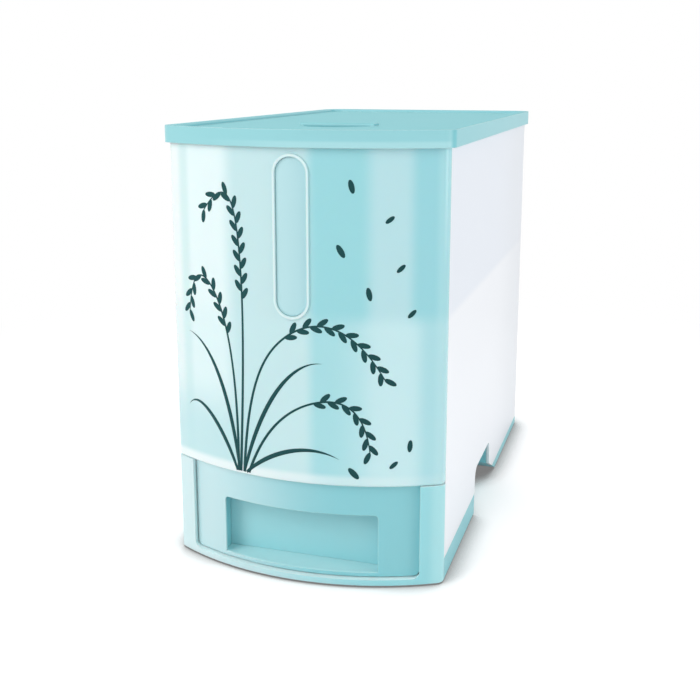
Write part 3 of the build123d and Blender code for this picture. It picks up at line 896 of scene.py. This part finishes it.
def grow(source, tree, sizes, name):
    """Runs a print tree on a flat source and keeps the result as a plain mesh, a thin film of ink."""
    values = {**sizes, **bow_sizes, "Ink": ink}
    modifier = source.modifiers.new(tree.name, "NODES")
    modifier.node_group = tree
    for item in tree.interface.items_tree:
        if item.in_out == "INPUT" and item.name in values:
            modifier[item.identifier] = values[item.name]
    evaluated = source.evaluated_get(bpy.context.evaluated_depsgraph_get())
    mesh = bpy.data.meshes.new_from_object(evaluated)
    mesh.name = name
    source.modifiers.remove(modifier)
    bpy.data.objects.remove(source)
    inward = [face for face in mesh.polygons if face.normal.y > 0]
    for face in inward:
        face.flip()
    mesh.update()
    piece = add_object(name, mesh)
    film = piece.modifiers.new("ink_film", "SOLIDIFY")
    film.thickness = ink_thickness
    film.offset = -1
    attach(piece, "bin")


ink = ink_finish()
grow(flat_curve("flat_stalks", stalks), make_rice_ear(), ear_sizes, "print_stalks")
grow(flat_curve("flat_blades", blades), make_rice_blade(), blade_sizes, "print_blades")
grow(flat_points("flat_grains", loose_places), make_loose_grains(), loose_sizes, "print_grains")


# Stage, light and camera

floor_reach = 6.0
floor_colour = (0.88, 0.88, 0.88, 1)
floor_lift = 0.36  # brings the lit floor up to white where it is looked at
contact_reach = 30 * MM
contact_openness = (1.0, 0.2)  # how open the floor is where the contact shadow starts, and is full
contact_light = 0.2
contact_samples = 12
far_white = (0.35, 0.8)  # distance at which the floor starts to turn white, and is white
plain_white = 1.0  # strength that renders as white


def seen_rays(nodes):
    """1 for what the camera, a reflection or a clear piece sees, 0 for light that falls on the object."""
    path = nodes.add("ShaderNodeLightPath").outputs
    indirect = nodes.math("MAXIMUM", path["Is Glossy Ray"], path["Is Transmission Ray"])
    return nodes.math("MAXIMUM", path["Is Camera Ray"], indirect)


def floor_finish():
    """Pale floor that keeps the shadow, with a painted contact shadow close to the bin, and turns to
    plain white further out.
    """
    material = bpy.data.materials.new("pale_floor")
    material.use_nodes = True
    nodes = Tree(material.node_tree)
    material.node_tree.nodes.remove(material.node_tree.nodes["Principled BSDF"])

    def glow(strength):
        return nodes.add("ShaderNodeEmission", {"Strength": strength}).outputs[0]

    def blend(share, first, second):
        return nodes.add("ShaderNodeMixShader", {0: share, 1: first, 2: second}).outputs[0]

    place = nodes.add("ShaderNodeTexCoord").outputs["Object"]
    distance = nodes.add("ShaderNodeVectorMath", {0: place}, operation="LENGTH").outputs["Value"]
    seen = seen_rays(nodes)
    diffuse = nodes.add("ShaderNodeBsdfDiffuse", {"Color": floor_colour}).outputs[0]
    lift = glow(nodes.times(seen, floor_lift))
    lit = nodes.add("ShaderNodeAddShader", {0: diffuse, 1: lift}).outputs[0]
    # Painted contact shadow: the floor is dimmed where it is closed in close to the bin.
    openness = nodes.add(
        "ShaderNodeAmbientOcclusion",
        {"Distance": contact_reach},
        samples=contact_samples,
    ).outputs["AO"]
    contact = nodes.times(nodes.ramp(openness, *contact_openness), seen)
    near = blend(contact, lit, glow(contact_light))
    far = nodes.times(nodes.ramp(distance, *far_white), seen)
    output = material.node_tree.nodes["Material Output"]
    nodes.link(blend(far, near, glow(plain_white)), output.inputs["Surface"])
    return material


def make_floor():
    corners = [(-1, -1), (1, -1), (1, 1), (-1, 1)]
    data = bpy.data.meshes.new("floor")
    data.from_pydata([(x * floor_reach, y * floor_reach, 0) for x, y in corners], [], [(0, 1, 2, 3)])
    data.materials.append(floor_finish())
    floor = add_object("floor", data)


def make_world(ambient):
    """Even white surroundings: plain white to the camera and in reflections, softer as light."""
    world = bpy.data.worlds.new("studio")
    world.use_nodes = True
    nodes = Tree(world.node_tree)
    strength = nodes.math("MULTIPLY_ADD", seen_rays(nodes), plain_white - ambient, ambient)
    background = world.node_tree.nodes["Background"]
    background.inputs["Color"].default_value = (1, 1, 1, 1)
    nodes.link(strength, background.inputs["Strength"])
    bpy.context.scene.world = world


def softbox(name, place, width, height, power, mirrored=True):
    """Area lamp aimed at the middle of the bin; mirrored says whether gloss shows the lamp itself."""
    lamp = bpy.data.lights.new(name, "AREA")
    lamp.shape = "RECTANGLE"
    lamp.size, lamp.size_y = width, height
    lamp.energy = power
    thing = add_object(name, lamp)
    thing.visible_glossy = mirrored
    thing.location = place
    target = (cad_low + cad_high) / 2
    thing.rotation_euler = (target - Vector(place)).to_track_quat("-Z", "Y").to_euler()


def make_camera():
    data = bpy.data.cameras.new("camera")
    data.sensor_fit = "HORIZONTAL"
    data.sensor_width = sensor_width
    data.lens = focal_pixels / image_pixels * sensor_width
    data.shift_y = -horizon_shift_pixels / image_pixels
    camera = add_object("camera", data)
    back = Vector((
        math.sin(camera_yaw) * math.cos(camera_pitch),
        -math.cos(camera_yaw) * math.cos(camera_pitch),
        math.sin(camera_pitch),
    ))
    camera.location = camera_place
    camera.rotation_euler = (-back).to_track_quat("-Z", "Y").to_euler()
    bpy.context.scene.camera = camera


make_floor()
make_world(ambient=0.6)
softbox("left_softbox", place=(-0.9, -1.3, 1.2), width=0.9, height=1.2, power=13)
softbox("right_softbox", place=(1.5, -0.3, 0.5), width=0.9, height=1.2, power=7)
softbox("top_softbox", place=(0.0, 0.1, 1.6), width=1.0, height=1.0, power=2)
softbox("back_softbox", place=(-0.5, 1.6, 0.7), width=0.9, height=1.2, power=6, mirrored=False)
make_camera()
bpy.context.scene.view_settings.view_transform = "Standard"
